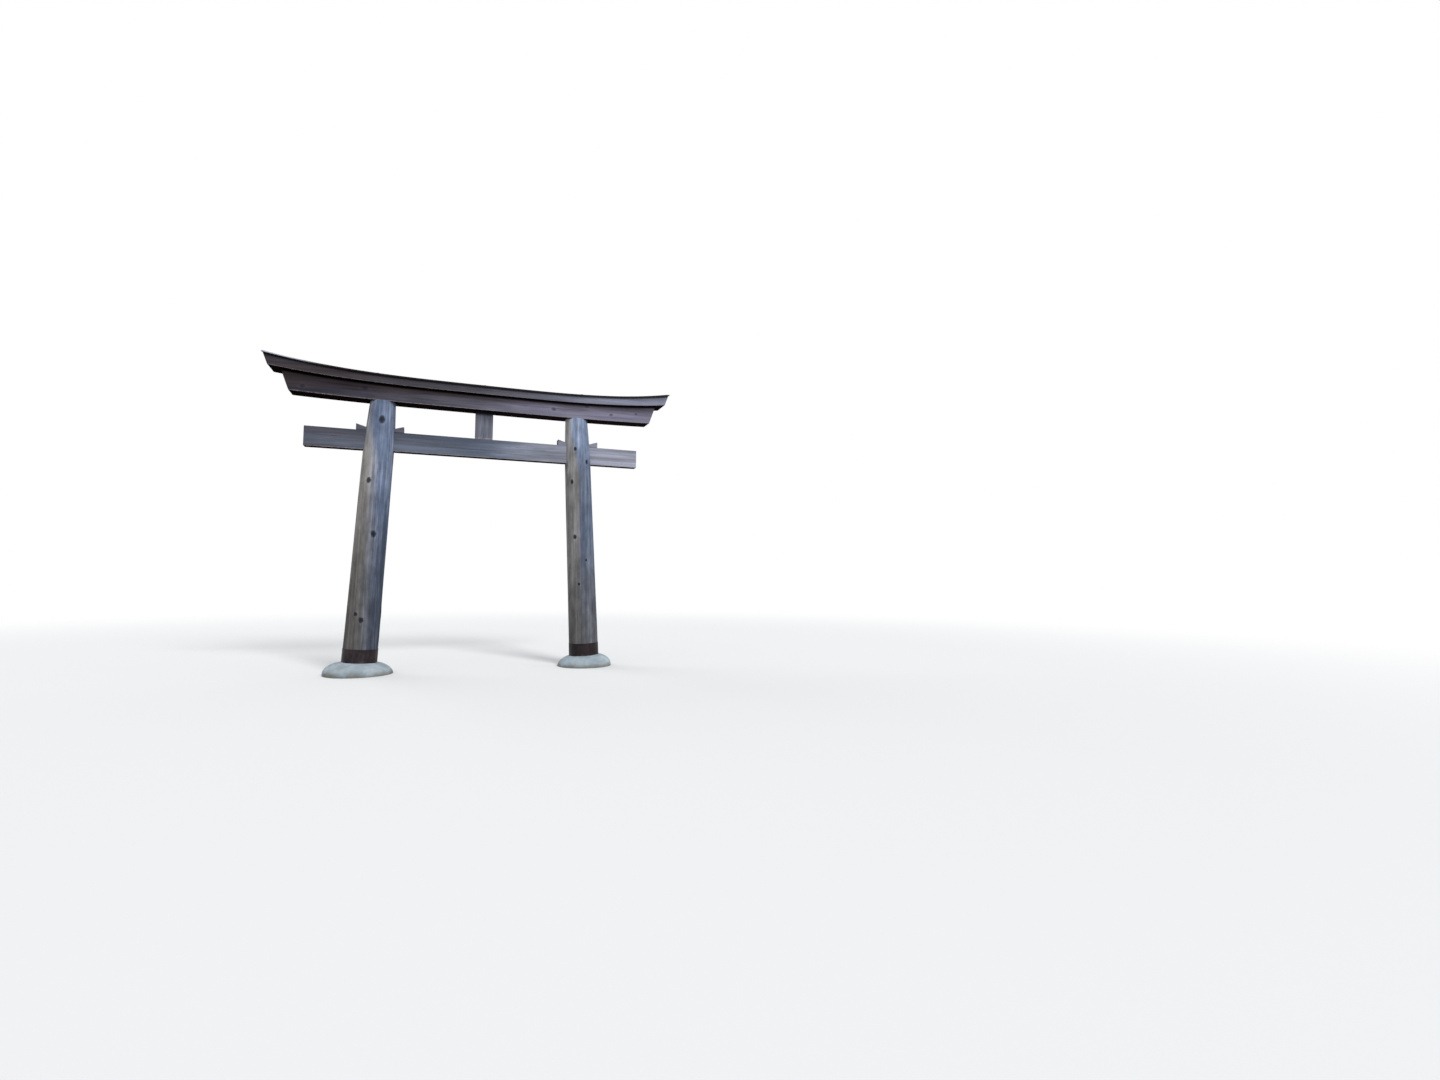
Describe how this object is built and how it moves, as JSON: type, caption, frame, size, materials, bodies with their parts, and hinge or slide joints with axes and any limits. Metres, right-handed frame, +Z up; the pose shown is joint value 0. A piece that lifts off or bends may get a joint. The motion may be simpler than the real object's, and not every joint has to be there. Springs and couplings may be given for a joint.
{
  "type": "torii gate",
  "caption": "Weathered wooden torii gate: leaning log posts in rounded footings, wedged tie beam, centre strut and a double lintel that sweeps up to slanted ends.",
  "frame": {"origin": "on the ground, midway between the two posts and in the middle of the gate's thickness", "axes": "+X along the gate to the right as seen from the front, +Y through the gate away from the front, +Z up"},
  "size_m": [4.5788, 0.712, 3.5287],
  "materials": {
    "post_wood": "bare log wood, weathered silver grey with fine checks and knots",
    "beam_wood": "bare sawn wood, weathered to a dark brown grey",
    "strut_wood": "bare sawn wood, weathered grey",
    "wedge_wood": "bare split wood, weathered brown grey",
    "roof_metal": "dark brown sheet metal, satin, dulled by weather",
    "band_metal": "near-black brown sheet metal, matt",
    "footing_plaster": "smooth trowelled pale grey mortar"
  },
  "bodies": {
    "root": {"left_footing": "footing_plaster", "right_footing": "footing_plaster", "left_foot_band": "band_metal", "right_foot_band": "band_metal", "left_post": "post_wood", "right_post": "post_wood", "tie_beam": "beam_wood", "left_outer_wedge": "wedge_wood", "left_inner_wedge": "wedge_wood", "right_inner_wedge": "wedge_wood", "right_outer_wedge": "wedge_wood", "centre_strut": "strut_wood", "lower_lintel": "beam_wood", "upper_lintel": "beam_wood", "front_roof_sheet_1": "roof_metal", "front_roof_sheet_2": "roof_metal", "front_roof_sheet_3": "roof_metal", "front_roof_sheet_4": "roof_metal", "back_roof_sheet_1": "roof_metal", "back_roof_sheet_2": "roof_metal", "back_roof_sheet_3": "roof_metal", "back_roof_sheet_4": "roof_metal", "left_ridge_cap": "roof_metal", "right_ridge_cap": "roof_metal"}
  },
  "joints": []
}
